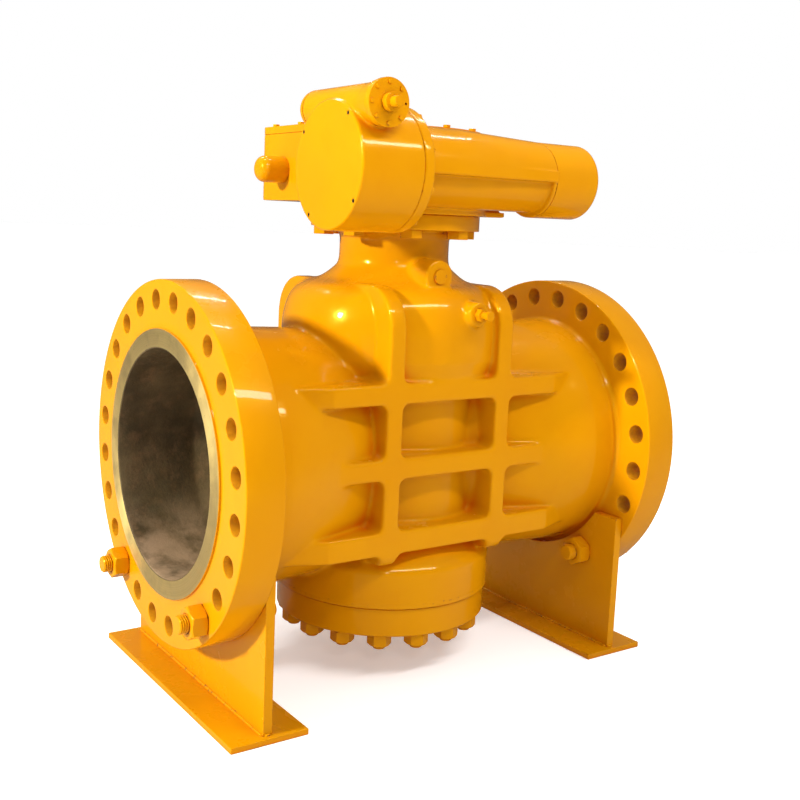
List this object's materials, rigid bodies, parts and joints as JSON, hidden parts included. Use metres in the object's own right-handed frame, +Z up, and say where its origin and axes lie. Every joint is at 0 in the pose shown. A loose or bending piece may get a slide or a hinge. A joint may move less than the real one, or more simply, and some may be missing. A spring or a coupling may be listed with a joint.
{
  "type": "plug valve",
  "caption": "Gear-operated flanged plug valve with a ribbed cast body, a bolted bottom cover, a worm gear operator on the neck and two plate supports.",
  "frame": {"origin": "floor level, on the stem's axis", "axes": "+X along the pipe, +Z up along the stem, -Y the way the input shaft points"},
  "size_m": [1.5162, 0.9398, 1.577],
  "materials": {
    "valve_paint": "glossy yellow enamel over cast steel",
    "operator_paint": "glossy yellow enamel over cast iron",
    "support_paint": "yellow enamel over steel plate",
    "fastener_paint": "yellow enamel over steel fasteners",
    "shaft_paint": "yellow enamel over a turned steel shaft",
    "fitting_paint": "yellow enamel over a steel fitting",
    "plug_steel": "machined steel with a film of sealant",
    "bearing_steel": "ground bearing steel",
    "dark_steel": "oil-blackened steel",
    "bronze": "machined bronze",
    "packing": "graphite packing and gasket"
  },
  "bodies": {
    "valve": {"body_casting": "valve_paint", "stem_thrust_washer": "bronze", "stem_bush": "bronze", "packing_rings": "packing", "gland": "plug_steel", "gland_screws": "plug_steel", "bottom_cover": "valve_paint", "cover_gasket": "packing", "cover_studs": "fastener_paint", "cover_nuts": "fastener_paint", "thrust_ball": "bearing_steel", "adjusting_screw": "plug_steel", "adjuster_cap": "fastener_paint", "left_support_web": "support_paint", "left_support_foot": "support_paint", "right_support_web": "support_paint", "right_support_foot": "support_paint", "support_studs": "fastener_paint", "support_nuts": "fastener_paint", "gear_housing": "operator_paint", "housing_lid": "operator_paint", "lid_screws": "fastener_paint", "operator_bolts": "fastener_paint", "lower_wheel_bush": "bronze", "upper_wheel_bush": "bronze", "worm_bearings": "bearing_steel", "worm_end_cap": "operator_paint", "end_cap_screws": "fastener_paint", "first_stage_case": "operator_paint", "case_face_plugs": "dark_steel", "first_stage_screws": "fastener_paint", "input_bearings": "bearing_steel", "input_cap": "operator_paint", "input_cap_screws": "fastener_paint", "input_seal": "packing", "input_tube_plug": "operator_paint", "stop_screws": "plug_steel", "stop_lock_nuts": "plug_steel", "stop_caps": "operator_paint", "body_sealant_fitting": "fitting_paint", "neck_plug": "fastener_paint"},
    "plug_and_stem": {"plug": "plug_steel", "plug_coupling": "plug_steel", "stem": "plug_steel", "worm_wheel": "bronze", "wheel_key": "plug_steel", "position_pointer": "dark_steel"},
    "worm_train": {"worm_shaft": "plug_steel", "first_stage_wheel": "bronze", "first_wheel_key": "plug_steel"},
    "input": {"input_shaft": "shaft_paint"}
  },
  "joints": [
    {"name": "plug_turn", "type": "hinge", "parent": "valve", "child": "plug_and_stem", "pos_m": [0, 0, 1.3], "axis": [0, 0, -1], "range_deg": [0, 90]},
    {"name": "worm_turn", "type": "hinge", "parent": "valve", "child": "worm_train", "pos_m": [0, -0.25, 1.376], "axis": [1, 0, 0], "range_deg": [0, 3600]},
    {"name": "input_turn", "type": "hinge", "parent": "valve", "child": "input", "pos_m": [-0.324, -0.25, 1.52], "axis": [0, -1, 0], "range_deg": [0, 43200]}
  ],
  "couplings": [
    {"joint": "worm_turn", "follows": "plug_turn", "ratio": 40},
    {"joint": "input_turn", "follows": "plug_turn", "ratio": 480}
  ]
}
